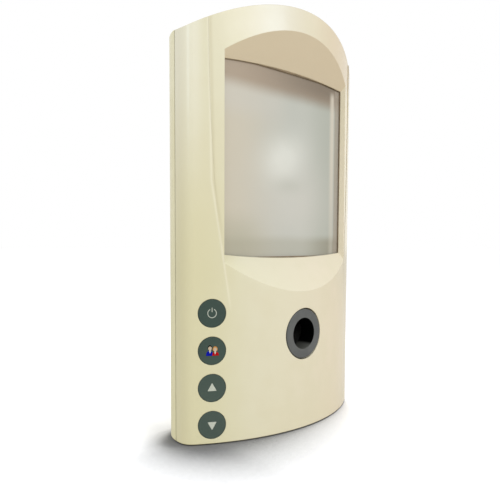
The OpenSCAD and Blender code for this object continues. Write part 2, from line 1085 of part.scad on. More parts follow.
// starter box of the lamp circuit
module igniter() {
  color("#33373a")
    translate([igniter_at[0], igniter_at[1], floor_in]) {
      cube(igniter_box);
      for (s = [-1, 1])
        translate([(igniter_box[0] - blade_tab[0]) / 2,
            igniter_box[1] / 2 + s * igniter_box[1] / 4 - blade_tab[1] / 2, igniter_box[2] - over])
          cube(blade_tab);
    }
}

// terminal block on the back wall
module terminal_block() {
  color("#e9e6da")
    difference() {
      translate([block_at[0], back_in - block_box[1], block_at[1]])
        cube(block_box);
      for (i = [0 : block_ways - 1])
        translate([block_at[0] + (i + 0.5) * block_box[0] / block_ways,
            back_in - block_box[1], block_at[1]]) {
          translate([0, 0, block_box[2] / 2])
            bar(block_screw_r, -over, block_sink);
          translate([0, block_box[1] / 2 + block_wire_r, -over])
            cylinder(r = block_wire_r, h = block_box[2] + 2 * over);
        }
    }
}

// gland for the supply cord, sunk in a pocket of the back
module cord_gland() {
  color("#303234")
    translate([gland_x, 0, gland_z])
      difference() {
        union() {
          bar(gland_r, pocket_floor - gland_tail, back_y - gland_in);
          translate([0, pocket_floor, 0])
            rotate([-90, 0, 0])
              linear_extrude(height = gland_hex_t)
                circle(gland_hex_r, $fn = 6);
        }
        bar(gland_bore_d / 2, 0, back_y + over);
      }
}

// nut of the gland inside the housing
module gland_nut() {
  color("#3a3c3e")
    translate([gland_x, pocket_floor - wall - gland_hex_t, gland_z])
      difference() {
        rotate([-90, 0, 0])
          linear_extrude(height = gland_hex_t)
            circle(gland_hex_r, $fn = 6);
        bar(gland_r + gland_fit / 2, -over, gland_hex_t + over);
      }
}

// threaded inserts on the back
module arm_inserts() {
  color("#b9963f")
    at_inserts()
      difference() {
        bar(insert_r, back_y - insert_len, back_y);
        bar(insert_hole_d / 2, back_y - insert_len - over, back_y + over);
      }
}

// screws that join the two shells from behind
module case_screws() {
  color("#9a9da0")
    at_case_screws()
      translate([0, case_seat, 0])
        mirror([0, 1, 0])
          screw(case_seat - seam_y + case_bite);
}

front_shell();
rear_shell();
seam_gasket();
feet();
window_pane();
pane_gasket();
pane_retainer();
retainer_screws();
reflector();
reflector_posts();
reflector_screws();
lamp_tube();
lamp_caps();
lamp_holders();
heat_shield();
shield_screws();
nozzle_seat();
nozzle_retainer();
seat_screws();
nozzle_collar();
nozzle_ball();
trunnion_pins();
air_duct();
fan_frame();
fan_rotor();
fan_screws();
power_button();
program_button();
up_button();
down_button();
button_guide();
guide_screws();
control_board();
board_screws();
tact_switches();
ballast();
capacitor();
igniter();
terminal_block();
cord_gland();
gland_nut();
arm_inserts();
case_screws();
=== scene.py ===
"""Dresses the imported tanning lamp: finishes, printed marks, softened edges and a plain studio."""

import math

import bmesh
import bpy
from mathutils import Matrix, Vector


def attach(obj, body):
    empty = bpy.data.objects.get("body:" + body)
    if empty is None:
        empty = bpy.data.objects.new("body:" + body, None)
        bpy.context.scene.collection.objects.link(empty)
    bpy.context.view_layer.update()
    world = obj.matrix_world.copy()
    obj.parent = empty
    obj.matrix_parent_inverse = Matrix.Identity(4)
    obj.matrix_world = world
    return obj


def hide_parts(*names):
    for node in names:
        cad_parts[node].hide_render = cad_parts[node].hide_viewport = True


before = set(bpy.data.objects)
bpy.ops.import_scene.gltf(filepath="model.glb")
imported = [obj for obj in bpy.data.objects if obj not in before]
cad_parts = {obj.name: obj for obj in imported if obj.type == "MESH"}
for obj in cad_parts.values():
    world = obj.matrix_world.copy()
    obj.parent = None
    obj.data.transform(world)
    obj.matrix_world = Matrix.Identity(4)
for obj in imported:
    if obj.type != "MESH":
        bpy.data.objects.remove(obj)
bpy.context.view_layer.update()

# Housing, in metres: the front bows about an upright axis, and the roof is an arc across the width.
HALF_W = 0.1285
BODY_H = 0.439
FRONT_Y = -0.049
BACK_Y = 0.049
FRONT_R = 0.221
AXIS_Y = FRONT_Y + FRONT_R
ROOF_R = 0.243
REAR_R = 0.0495
SEAM_Y = 0.010
PANE_HALF_W = 0.0920
PANE_HALF_H = 0.0975
PANE_MID_Z = 0.2829

# An edge of an added piece stays sharp where its faces turn by more than this.
SHARP_ANGLE = math.radians(32)

# Rounding of the rear shell's roof edge, and the block that cuts it.
ROUNDING_R = 0.0048
ROUNDING_LEAST = 0.0001
ROUNDING_FADE = 0.014
BLOCK_FRONT_Y = -0.03
BLOCK_OVERRUN = 0.05
BLOCK_WALL_SPARE = 0.0003
BLOCK_ROOF_SPARE = 0.00003
BLANK_WELD = 0.000001
SHELL_WELD = 0.000002

# Air nozzle, with distances measured inwards from the crown of the front.
NOZZLE_Z = 0.103
BALL_R = 0.0273
BALL_CENTRE = 0.008
BALL_FACE = 0.001
BALL_TAIL = 0.020
BALL_TAIL_R = 0.0245
BORE_R = 0.0166
BORE_LIP = 0.0006
FACE_RIM = 0.0008
TAIL_RIM = 0.0004
TAIL_LIP = 0.0008

# Buttons, in a column on the left flank.
BUTTON_X = 0.1064
BUTTON_SWING = math.asin(BUTTON_X / FRONT_R)
BUTTON_LOWEST_Z = 0.020
BUTTON_PITCH = 0.037
BUTTONS = ("down_button", "up_button", "program_button", "power_button")
BUTTON_Z = {button: BUTTON_LOWEST_Z + BUTTON_PITCH * i for i, button in enumerate(BUTTONS)}
CAP_SUNK = 0.0002

# Printed marks on the buttons, with halves given as half a width and half a height.
INK_TOP = 0.00014
INK_ROOT = -0.0001
INK_STEP = 0.00003
RING_IN_R = 0.00395
RING_OUT_R = 0.00465
RING_GAP_DEG = 52
POWER_BAR_V = 0.0034
POWER_BAR_HALF = (0.00036, 0.0021)
ARROW_W = 0.0087
ARROW_H = 0.0074
COAT_W = 0.0067
COAT_FOOT = -0.0048
COLLAR_HALF = (0.0011, 0.0011)
COLLAR_FOOT_HALF_W = 0.0002
COLLAR_DOWN = 0.0012
NECK_HALF_W = 0.0008
NECK_SUNK = 0.0005
HEAD_HALF_W = 0.0019
HEAD_HALF_H = 0.0025
HEAD_TAPER = 0.2
HAIR_IN = (0.86 * HEAD_HALF_W, 0.60 * HEAD_HALF_H)
HAIR_OUT_H = 1.08 * HEAD_HALF_H
CHIN_DOWN = 0.8 * HEAD_HALF_H
EYE_OUT = 0.00078
EYE_HALF = (0.00034, 0.00021)
BROW_UP = 0.00062
BROW_HALF = (0.00042, 0.00006)
NOSE_DOWN = 0.46 * HEAD_HALF_H
NOSE_HALF = (0.00026, 0.00007)
MOUTH_DOWN = 0.67 * HEAD_HALF_H
MOUTH_HALF = (0.00058, 0.00008)
FIGURE_LAYERS = 6

# Camera at the photograph's viewing angle.
CAMERA_PLACE = (-0.47143, -0.45366, 0.20130)
HEADING = math.radians(43.93)
PITCH = math.radians(3.80)
ROLL = math.radians(-0.26)
SENSOR_MM = 36.0
LENS_MM = 41.905
SHIFT_UP = 0.06
NEAR_CLIP = 0.01

# Floor, and the grey of its shadow by how open the floor is to the light.
FLOOR_R = 14.0
SHADOW_REACH = 0.25
SHADOW_LEAN = {"X": 0.85, "Y": 0.15, "Z": 0.50}
SHADOW_GREYS = ((0.50, 0.085), (0.59, 0.105), (0.62, 0.155), (0.66, 0.235),
                (0.70, 0.335), (0.77, 0.405), (0.86, 0.60))
FLOOR_BLACK = (0.0, 0.0, 0.0, 1.0)
FLOOR_WHITE = (2.30, 2.30, 2.36, 1.0)
FLOOR_MIRRORED = (0.90, 0.90, 0.90, 1.0)
FLOOR_BOUNCE = (0.70, 0.64, 0.55, 1.0)

# Light of the sky and the lamps, and what the lamps point at.
SKY_SEEN = (1.0, 1.0, 1.0, 1.0)
SKY_LIGHT = (0.74, 0.74, 0.73, 1.0)
PLAIN_LIGHT = (1.0, 1.0, 1.0)
COOL_LIGHT = (0.65, 0.84, 1.0)
BODY_MIDDLE = (0.0, 0.0, 0.22)
BODY_LOW = (0.0, 0.0, 0.12)
LEFT_SHOULDER = (-0.12, 0.0, 0.42)

# Textures that the moulded pieces share.
PLASTIC_IOR = 1.47
MOTTLE_SCALE = 7.0
FLOW_SCALE = 55.0
ERODED_SCALE = 1500.0
ERODED_RELIEF = 0.12
ERODED_DEPTH = 0.0002


# Finishes

def tone(code):
    """Linear colour of a six-figure colour code."""
    parts = [int(code[i:i + 2], 16) / 255 for i in (1, 3, 5)]
    return tuple(p / 12.92 if p <= 0.04045 else ((p + 0.055) / 1.055) ** 2.4 for p in parts) + (1.0,)


class Wire:
    """A socket of a finish. Sums on it add Math nodes to that finish."""

    def __init__(self, finish, socket):
        self.finish = finish
        self.socket = socket

    def sum(self, operation, a, b):
        """Math node on two values, of which at least one is a wire."""
        return self.finish.node("Math", {"operation": operation}, {0: a, 1: b})

    def at_least(self, other):
        """The larger of two values."""
        return self.sum("MAXIMUM", self, other)

    def __add__(self, other):
        return self.sum("ADD", self, other)

    def __radd__(self, other):
        return self.sum("ADD", other, self)

    def __sub__(self, other):
        return self.sum("SUBTRACT", self, other)

    def __rsub__(self, other):
        return self.sum("SUBTRACT", other, self)

    def __mul__(self, other):
        return self.sum("MULTIPLY", self, other)

    def __rmul__(self, other):
        return self.sum("MULTIPLY", other, self)

    def __truediv__(self, other):
        return self.sum("DIVIDE", self, other)

    def __rtruediv__(self, other):
        return self.sum("DIVIDE", other, self)

    def __pow__(self, other):
        return self.sum("POWER", self, other)

    def __rpow__(self, other):
        return self.sum("POWER", other, self)


class Finish:
    """The nodes of one material, or of the sky, under construction."""

    def __init__(self, owner):
        self.owner = owner
        owner.use_nodes = True
        self.tree = owner.node_tree
        self.tree.nodes.clear()

    def node(self, kind, settings=None, sockets=None, out=0):
        """Adds a node: its type, its settings, then the values or links of its sockets."""
        made = self.tree.nodes.new("ShaderNode" + kind)
        for key, value in (settings or {}).items():
            if key == "stops":
                ramp = made.color_ramp
                while len(ramp.elements) < len(value):
                    ramp.elements.new(0.5)
                for element, (place, colour) in zip(ramp.elements, value):
                    element.position = place
                    element.color = colour
            else:
                setattr(made, key, value)
        for key, value in (sockets or {}).items():
            if isinstance(value, Wire):
                self.tree.links.new(value.socket, made.inputs[key])
            else:
                made.inputs[key].default_value = value
        return Wire(self, made.outputs[out]) if made.outputs else None

    def place(self):
        """Place on the part, in metres."""
        return self.node("TexCoord", out="Object")

    def along(self, axis):
        """Place along one axis of the part."""
        return self.node("SeparateXYZ", None, {0: self.place()}, out=axis)

    def facing(self, axis):
        """How far the surface faces along one axis."""
        return self.node("SeparateXYZ", None, {0: self.node("TexCoord", out="Normal")}, out=axis)

    def stretched(self, x, y, z):
        """Place on the part, stretched along its axes."""
        return self.node("VectorMath", {"operation": "MULTIPLY"}, {0: self.place(), 1: (x, y, z)})

    def noise(self, scale, detail=2.0, at=None):
        """Noise between zero and one."""
        return self.node("TexNoise", None,
                         {"Vector": at or self.place(), "Scale": scale, "Detail": detail}, out="Fac")

    def ease(self, value, low, high, start=0.0, end=1.0):
        """Smooth step of a value between low and high."""
        return self.node("MapRange", {"interpolation_type": "SMOOTHSTEP"},
                         {"Value": value, "From Min": low, "From Max": high,
                          "To Min": start, "To Max": end})

    def spot(self, u, v, middle, reach):
        """Soft round patch, one in its middle."""
        away = ((u - middle[0]) / reach[0]) ** 2.0 + ((v - middle[1]) / reach[1]) ** 2.0
        return math.e ** (-1.0 * away)

    def blend(self, factor, a, b):
        """Mix of two colours."""
        return self.node("Mix", {"data_type": "RGBA"}, {0: factor, 6: a, 7: b}, out=2)

    def tinted(self, colour, tints):
        """Colour under a row of tints, each a mask and a colour code."""
        for mask, code in tints:
            colour = self.blend(mask, colour, tone(code))
        return colour

    def mottling(self, flow):
        """Mask of the slight clouds in moulded plastic."""
        return self.ease(self.noise(MOTTLE_SCALE, 3.0) * 0.7 + flow * 0.3, 0.38, 0.62)

    def soft_edges(self, radius):
        """Normals that round off the edges."""
        return self.node("Bevel", {"samples": 8}, {"Radius": radius})

    def grain(self, height, strength, depth, radius):
        """Surface relief over edges rounded to a radius."""
        return self.node("Bump", None, {"Strength": strength, "Distance": depth, "Height": height,
                                        "Normal": self.soft_edges(radius)})

    def satin(self, colour, flow, roughness, edge, spread=(0.14, 0.10)):
        """Sockets of moulded plastic with a fine eroded texture, its gloss uneven by flow and texture."""
        eroded = self.noise(ERODED_SCALE)
        return {
            "Base Color": colour,
            "Roughness": roughness + (flow - 0.5) * spread[0] + (eroded - 0.5) * spread[1],
            "IOR": PLASTIC_IOR,
            "Normal": self.grain(eroded, ERODED_RELIEF, ERODED_DEPTH, edge)}

    def seen_rays(self):
        """One where a ray from the eye, a mirror or glass arrives."""
        eye, mirror, glass = [self.node("LightPath", out=kind) for kind in
                              ("Is Camera Ray", "Is Glossy Ray", "Is Transmission Ray")]
        return self.node("Math", {"operation": "ADD", "use_clamp": True}, {0: eye + mirror, 1: glass})

    def surface(self, sockets):
        """Closes the finish with one shader and gives its material."""
        shader = self.node("BsdfPrincipled", None, sockets)
        self.node("OutputMaterial", None, {"Surface": shader})
        return self.owner


def blank_finish(name):
    """A new material without nodes."""
    return Finish(bpy.data.materials.new(name))


def moulding(name, face, shade, roughness, edge=0.0012, low=None, low_span=(0.34, 0.02)):
    """Injection moulded plastic, slightly mottled, turning to a second colour towards the bottom where one
    is given.
    """
    look = blank_finish(name)
    flow = look.noise(FLOW_SCALE)
    colour = look.tinted(tone(face), [(look.mottling(flow), shade)])
    if low:
        colour = look.tinted(colour, [(look.ease(look.along("Z"), *low_span), low)])
    return look.surface(look.satin(colour, flow, roughness, edge))


def shell_moulding(name):
    """Cream shell plastic, slightly mottled, with painted light and shade: warmer light to the right and
    low on the right, light on the right jamb, shade low on the left, on the soffit and at the brow's right
    end, and highlights on the upper left flank, the brow and along the fold.
    """
    look = blank_finish(name)
    flow = look.noise(FLOW_SCALE)
    across = look.along("X")
    height = look.along("Z")
    frontal = look.ease(look.facing("Y"), -0.80, -0.88)
    # Painted warm light towards the right side.
    painted_warm_right = look.ease(across, -0.12, 0.12)
    # Painted shade, darker and yellower, low on the left flank.
    painted_low_left_shade = look.ease(height, 0.36, 0.16) * look.ease(across, -0.06, -0.12)
    # Painted highlights on the upper left flank and at the crown of the brow.
    painted_flank_highlight = look.ease(height, 0.22, 0.42) * look.ease(across, -0.112, -0.121)
    brow_crown = look.spot(across, height, (-0.042, 0.42), (0.034, 0.2))
    painted_brow_highlight = look.ease(height, 0.385, 0.41) * brow_crown * frontal
    # Painted highlight along the fold line of the front panel, with painted shade just beside it.
    upper_fold = -0.1025 - height * 0.017
    lower_fold = -0.0708 - height * 0.139
    from_fold = across - upper_fold.at_least(lower_fold)
    painted_fold_highlight = look.spot(from_fold, height, (0.0, 0.28), (0.0010, 0.4))
    fold_shade = look.spot(from_fold, height, (0.0023, 0.30), (0.0014, 0.3))
    fold_highlight_end = look.ease(height, 0.128, 0.15)
    shade_end = look.ease(height, 0.18, 0.23)
    # Painted shade on the soffit, the underside of the brow over the pane.
    painted_soffit_shade = look.ease(look.facing("Z"), -0.15, -0.4) * look.ease(height, 0.30, 0.33)
    # Painted shade, darker and pinker, at the right end of the brow.
    painted_brow_end_shade = look.ease(height, 0.36, 0.40) * look.ease(across, 0.0, 0.06) * frontal
    # Painted light on the right jamb beside the pane, and painted warm light low on the right.
    beside_pane = look.ease(height, 0.17, 0.20) * look.ease(height, 0.39, 0.36)
    painted_jamb_light = look.ease(across, 0.088, 0.094) * beside_pane * frontal
    painted_low_right_warmth = look.ease(across, 0.0, 0.12) * look.ease(height, 0.20, 0.12) * frontal
    colour = look.tinted(tone("#dedac0"), [
        (painted_warm_right, "#e5d9c2"),
        (look.mottling(flow) * 0.5, "#dbd4b7"),
        (painted_low_left_shade * 0.7, "#d6d0a7"),
        (painted_flank_highlight * 0.5, "#eceadc"),
        (painted_brow_highlight * 0.35, "#eeecea"),
        (painted_fold_highlight * fold_highlight_end * 0.45, "#efead6"),
        (fold_shade * shade_end * 0.35, "#c4bb9a"),
        (painted_soffit_shade * 0.9, "#d7c8ad"),
        (painted_brow_end_shade * 0.6, "#d6c2a4"),
        (painted_jamb_light * 0.8, "#f0e5c8"),
        (painted_low_right_warmth * 0.45, "#e4d2ae")])
    return look.surface(look.satin(colour, flow, 0.22, 0.0009, spread=(0.10, 0.08)))


def bored_moulding(name, face, shade, roughness, bore_r, edge):
    """Satin moulding whose bore wall is a near black lining that also stands in for shade, with a painted
    lit patch low on the wall.
    """
    look = blank_finish(name)
    flow = look.noise(FLOW_SCALE)
    rise = look.along("Z") - NOZZLE_Z
    reach = (look.along("X") ** 2.0 + rise ** 2.0) ** 0.5
    inside = look.ease(reach, bore_r + 0.0006, bore_r + 0.0002)
    # Painted light: a lit patch low on the bore wall; the near black wall also stands in for the shade
    # inside.
    painted_lit_patch = look.ease(rise, -0.0105, -0.0140)
    wall = look.tinted(tone("#020302"), [(painted_lit_patch, "#5a5b56")])
    skin = look.tinted(tone(face), [(look.ease(flow, 0.38, 0.62), shade)])
    satin = look.node("BsdfPrincipled", None, look.satin(skin, flow, roughness, edge))
    lining_and_shade = look.node("BsdfPrincipled", None, {"Base Color": wall, "Roughness": 0.9, "IOR": 1.1})
    both = look.node("MixShader", None, {0: inside, 1: satin, 2: lining_and_shade})
    look.node("OutputMaterial", None, {"Surface": both})
    return look.owner


def rubber(name, face, shade, roughness):
    """Dull elastomer with a dusty bloom."""
    look = blank_finish(name)
    bloom = look.noise(90.0, 4.0)
    fine = look.noise(2400.0)
    return look.surface({
        "Base Color": look.tinted(tone(face), [(look.ease(bloom, 0.35, 0.7), shade)]),
        "Roughness": roughness + (fine - 0.5) * 0.12,
        "IOR": 1.5,
        "Normal": look.grain(fine, 0.2, 0.0002, 0.0004)})


def worked_metal(name, face, shade, roughness, stretch, relief=0.15, edge=0.0003):
    """Metal with drawn or turned marks along one direction."""
    look = blank_finish(name)
    marks = look.noise(700.0, 3.0, look.stretched(*stretch))
    haze = look.noise(40.0, 3.0)
    return look.surface({
        "Base Color": look.tinted(tone(face), [(look.ease(haze, 0.35, 0.7), shade)]),
        "Metallic": 1.0,
        "Roughness": roughness + (marks - 0.5) * 0.18 + (haze - 0.5) * 0.12,
        "Normal": look.grain(marks, relief, 0.0001, edge)})


def frosted_pane(name):
    """Grey milk glass with painted light and shade: soft glows and a bright streak, shade under the brow
    and over the sill.
    """
    look = blank_finish(name)
    across = look.along("X") / PANE_HALF_W
    height = (look.along("Z") - PANE_MID_Z) / PANE_HALF_H
    sway = (look.noise(14.0) - 0.5) * 0.16
    cloud = (look.noise(26.0, 3.0) - 0.5) * 0.5
    frost = look.noise(1900.0)
    # Painted light and shade across the pane: greyer towards the right, lighter and cooler at the top
    # left.
    grey_middle = look.ease(across + cloud * 0.3, -0.9, 0.1)
    grey_right = look.ease(across + cloud * 0.2, 0.2, 0.75)
    cool_head = look.ease(height, 0.35, 0.62) * look.ease(across, 0.1, -0.3)
    # Painted glows in the middle of the pane and lower down.
    painted_lower_glow = look.spot(across, height + sway, (0.12, -0.40), (0.62, 0.46))
    painted_middle_glow = look.spot(across - height * 0.35, height + sway, (-0.10, 0.07), (0.33, 0.24))
    # A darker soft patch below the middle of the pane.
    darker_patch = look.spot(across - height * 0.3, height, (0.06, -0.22), (0.24, 0.09))
    # Painted shade at the low left corner, over the sill and its right end, under the brow and at its
    # right corner.
    low_corner = look.ease(height, -0.45, -0.8) * look.ease(across, -0.2, -0.8)
    over_sill = look.ease(height + sway * 0.3, -0.74, -0.86)
    sill_end = over_sill * look.ease(across, 0.2, 0.9)
    under_brow = look.ease(height + sway * 0.4, 0.68, 0.85)
    brow_corner = look.ease(height, 0.66, 0.94) * look.ease(across, -0.9, 0.7)
    # Painted bright streak near the right edge, and painted shade along the right side.
    bright_streak_width = look.ease(across, 0.765, 0.84) * look.ease(across, 0.905, 0.85)
    bright_streak_gain = look.ease(height, 0.97, 0.86) * look.ease(height, -0.9, 0.3, 0.35, 0.8)
    side_shade = look.ease(across, 0.88, 0.91)
    colour = look.tinted(tone("#c8c1b1"), [
        (grey_middle, "#bcbeb7"),
        (grey_right, "#afb2a9"),
        (cool_head * 0.45, "#c8c6c0"),
        (painted_lower_glow * 0.5, "#d3cfc8"),
        (painted_middle_glow * (0.74 + cloud), "#e3e4de"),
        (darker_patch * 0.4, "#b4b5ab"),
        (low_corner * 0.45, "#a5a48f"),
        (over_sill * 0.4, "#a39f8d"),
        (sill_end * 0.5, "#7f7864"),
        (under_brow * 0.72, "#9c866f"),
        (brow_corner * 0.5, "#4a3b2a"),
        (bright_streak_width * bright_streak_gain, "#d3cbbd"),
        (side_shade * 0.75, "#a0968a")])
    return look.surface({
        "Base Color": colour,
        "Roughness": 0.24 + (frost - 0.5) * 0.08 + sway * 0.2,
        "IOR": 1.36,
        "Normal": look.grain(frost, 0.05, 0.0001, 0.0005)})


def quartz(name):
    """Clear fused tube with a faint milky haze."""
    look = blank_finish(name)
    haze = look.noise(60.0, 3.0)
    return look.surface({
        "Base Color": look.tinted(tone("#eef0f4"), [(look.ease(haze, 0.4, 0.7), "#dfe4ea")]),
        "Roughness": 0.08 + haze * 0.1,
        "Transmission Weight": 0.8,
        "IOR": 1.46,
        "Normal": look.grain(look.noise(300.0), 0.05, 0.0001, 0.0005)})


def board_laminate(name):
    """Green solder mask with copper tracks under it."""
    look = blank_finish(name)
    black = (0, 0, 0, 1)
    white = (1, 1, 1, 1)
    tracks = look.node("TexBrick", {"offset": 0.5},
                       {"Vector": look.place(), "Color1": black, "Color2": black, "Mortar": white,
                        "Scale": 160.0, "Mortar Size": 0.05}, out="Fac")
    speck = look.noise(500.0, 3.0)
    return look.surface({
        "Base Color": look.tinted(tone("#24583a"), [(speck, "#2f6b48"), (tracks * 0.6, "#4f8d5c")]),
        "Roughness": 0.34 + (speck - 0.5) * 0.15,
        "Normal": look.grain(tracks, 0.3, 0.0001, 0.0002)})


def print_ink(name, face, shade):
    """Pad printed ink, slightly uneven."""
    look = blank_finish(name)
    uneven = look.noise(900.0, 3.0)
    return look.surface({
        "Base Color": look.tinted(tone(face), [(look.ease(uneven, 0.3, 0.7), shade)]),
        "Roughness": 0.6 + (uneven - 0.5) * 0.2,
        "IOR": 1.15,
        "Normal": look.grain(uneven, 0.15, 0.00005, 0.0001)})


CREAM = shell_moulding("cream_moulding")
# The rear shell is darker and yellower low down: painted shade, warmed as by light thrown up from the
# floor.
BACK = moulding("back_moulding", "#e7e3c4", "#e1dcba", 0.44, 0.0014, low="#e1dcb6")
SEAL = rubber("seal_rubber", "#3a3833", "#4a4740", 0.75)
PANE_SEAL = rubber("pane_seal_rubber", "#7a6a54", "#8a785f", 0.75)
FOOT = rubber("foot_rubber", "#2b2b2b", "#3b3a38", 0.8)
PANE = frosted_pane("frosted_pane")
SHEET = worked_metal("galvanised_sheet", "#b4b8bb", "#c6c9cb", 0.36, (1.0, 1.0, 0.06))
SCREW = worked_metal("zinc_screw", "#a7aaad", "#bfc2c4", 0.30, (0.3, 1.0, 1.0))
MIRROR = worked_metal("polished_reflector", "#dfe2e4", "#d2d6d9", 0.10, (1.0, 1.0, 0.04), 0.05)
QUARTZ = quartz("quartz_tube")
CERAMIC = moulding("lamp_ceramic", "#efece4", "#e4dfd3", 0.35, 0.0006)
NOZZLE = bored_moulding("nozzle_moulding", "#585a59", "#505251", 0.40, BORE_R, 0.0006)
COLLAR = moulding("collar_moulding", "#3f4242", "#363939", 0.45, 0.0005)
DUCT = moulding("duct_moulding", "#2c2d2d", "#252626", 0.6, 0.0005)
FAN = moulding("fan_moulding", "#1d1e1f", "#171819", 0.5, 0.0005)
BUTTON = moulding("button_moulding", "#2b4037", "#273a32", 0.44, 0.0007, "#3a4a42", (0.12, 0.04))
GUIDE = moulding("guide_moulding", "#8b8c86", "#81827c", 0.5, 0.0005)
BOARD = board_laminate("board_laminate")
SWITCH = moulding("switch_moulding", "#26282a", "#1e2022", 0.5, 0.0002)
CHOKE = worked_metal("ballast_laminations", "#5d6468", "#4e5458", 0.5, (0.05, 1.0, 1.0), 0.4)
CAN = worked_metal("capacitor_can", "#c3c6c8", "#b4b8ba", 0.3, (1.0, 1.0, 0.05))
STARTER = moulding("starter_case", "#33373a", "#2b2f32", 0.5, 0.0006)
TERMINAL = moulding("terminal_moulding", "#e9e6da", "#dedaca", 0.45, 0.0004)
GLAND = moulding("gland_moulding", "#303234", "#292b2d", 0.48, 0.0005)
BRASS = worked_metal("insert_brass", "#b9963f", "#c8a856", 0.28, (1.0, 0.2, 1.0))
PALE_INK = print_ink("pale_print", "#c6cbc0", "#b8beb3")
COOL_INK = print_ink("cool_print", "#0a16a8", "#081190")
WARM_INK = print_ink("warm_print", "#bd0c12", "#9f0a0e")
DARK_INK = print_ink("dark_print", "#1a1712", "#12100c")
FAIR_INK = print_ink("fair_print", "#c98f4e", "#b97f3f")
SKIN_INK = print_ink("skin_print", "#d8c4ac", "#ccb79e")
FEATURE_INK = print_ink("feature_print", "#4a382c", "#402f24")

NODE_FINISH = {
    "front_shell": CREAM, "rear_shell": BACK, "seam_gasket": SEAL, "feet": FOOT,
    "window_pane": PANE, "pane_gasket": PANE_SEAL, "pane_retainer": SHEET, "retainer_screws": SCREW,
    "reflector": MIRROR, "reflector_posts": SHEET, "reflector_screws": SCREW,
    "lamp_tube": QUARTZ, "lamp_caps": CERAMIC, "lamp_holders": CERAMIC,
    "heat_shield": SHEET, "shield_screws": SCREW,
    "nozzle_seat": COLLAR, "nozzle_retainer": COLLAR, "seat_screws": SCREW,
    "nozzle_collar": COLLAR, "nozzle_ball": NOZZLE, "trunnion_pins": SCREW, "air_duct": DUCT,
    "fan_frame": FAN, "fan_rotor": FAN, "fan_screws": SCREW,
    "power_button": BUTTON, "program_button": BUTTON, "up_button": BUTTON, "down_button": BUTTON,
    "button_guide": GUIDE, "guide_screws": SCREW, "control_board": BOARD, "board_screws": SCREW,
    "tact_switches": SWITCH, "ballast": CHOKE, "capacitor": CAN, "igniter": STARTER,
    "terminal_block": TERMINAL, "cord_gland": GLAND, "gland_nut": GLAND,
    "arm_inserts": BRASS, "case_screws": SCREW,
}
for node_name, finish in NODE_FINISH.items():
    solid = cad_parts[node_name]
    solid.data.materials.clear()
    solid.data.materials.append(finish)


# Pieces

def placed(name, mesh):
    """Makes a bmesh an object of the scene."""
    data = bpy.data.meshes.new(name)
    mesh.to_mesh(data)
    mesh.free()
    thing = bpy.data.objects.new(name, data)
    bpy.context.scene.collection.objects.link(thing)
    return thing


def keep(name, mesh, finish, body):
    """Adds a finished bmesh as a piece that rides on a body."""
    bmesh.ops.recalc_face_normals(mesh, faces=mesh.faces)
    piece = placed(name, mesh)
    piece.data.materials.append(finish)
    piece.data.shade_smooth()
    piece.data.set_sharp_from_angle(angle=SHARP_ANGLE)
    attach(piece, body)
    return piece


def over_cap(button, u, v, lift):
    """Point over a button's face: u to the right, v up, lift outwards."""
    swing = u / FRONT_R - BUTTON_SWING
    reach = FRONT_R - CAP_SUNK + lift
    return Vector((reach * math.sin(swing), AXIS_Y - reach * math.cos(swing), BUTTON_Z[button] + v))


def grid_rim(grid):
    """Points round the edge of a grid, in order."""
    right = [row[-1] for row in grid[1:]]
    left = [row[0] for row in grid[-2:0:-1]]
    return grid[0] + right + grid[-1][-2::-1] + left


def inked_strip(mesh, button, rows, columns, layer):
    """Raised patch of ink between two edges, given as rows of (left u, left v, right u, right v)."""
    rims = []
    for lift in (INK_TOP + layer, INK_ROOT):
        grid = []
        for lu, lv, ru, rv in rows:
            grid.append([mesh.verts.new(over_cap(button, lu + (ru - lu) * k / columns,
                                                 lv + (rv - lv) * k / columns, lift))
                         for k in range(columns + 1)])
        for one, two in zip(grid, grid[1:]):
            for k in range(columns):
                mesh.faces.new((one[k], one[k + 1], two[k + 1], two[k]))
        rims.append(grid_rim(grid))
    top, under = rims
    for i in range(len(top)):
        j = (i + 1) % len(top)
        mesh.faces.new((top[i], top[j], under[j], under[i]))


def band_rows(centre, inner, outer, start, end, steps):
    """Band between two ellipses, each given by its half width and half height."""
    rows = []
    for i in range(steps + 1):
        angle = math.radians(start + (end - start) * i / steps)
        right = math.cos(angle)
        up = math.sin(angle)
        rows.append((centre[0] + inner[0] * right, centre[1] + inner[1] * up,
                     centre[0] + outer[0] * right, centre[1] + outer[1] * up))
    return rows


def egg_rows(centre, half_w, half_h, taper=0.0, steps=14):
    """Oval that narrows towards its foot by a share of its width."""
    rows = []
    for i in range(1, steps):
        rise = math.cos(math.pi * i / steps)
        half = half_w * math.sqrt(1 - rise ** 2) * (1 - taper * max(0.0, -rise))
        v = centre[1] + half_h * rise
        rows.append((centre[0] - half, v, centre[0] + half, v))
    return rows


def bar_rows(u, v, half_w, half_h, foot_w=None):
    """Upright bar, or a wedge where its foot has its own half width."""
    foot = half_w if foot_w is None else foot_w
    return [(u - half_w, v + half_h, u + half_w, v + half_h),
            (u - foot, v - half_h, u + foot, v - half_h)]


def arrow_rows(width, height, direction, steps=8, tip=0.05, foot=0.93, above=0.65, below=0.395):
    """Triangle with slightly blunted corners, set a little towards its point."""
    rows = []
    for i in range(steps + 1):
        share = i / steps
        half = width / 2 * (tip + (1 - tip) * share)
        v = direction * height * (above - share)
        rows.append((-half, v, half, v))
    half = width / 2 * foot
    v = -direction * height * below
    rows.append((-half, v, half, v))
    return rows


def shoulder_rows(width, height, foot, centre, steps=10, fullness=0.97, squareness=2.4):
    """Rounded shoulders of a small figure, standing on the line v = foot."""
    rows = []
    for i in range(steps + 1):
        rise = 1 - i / steps
        half = width / 2 * math.sqrt(1 - (fullness * rise) ** squareness)
        v = foot + height * rise
        rows.append((centre - half, v, centre + half, v))
    return rows


def printed_mark(name, button, ink, patches, layer=0.0):
    """Patches of one ink on a button, each its rows and its count of columns."""
    mesh = bmesh.new()
    for rows, columns in patches:
        inked_strip(mesh, button, rows, columns, layer)
    keep(name, mesh, ink, button)


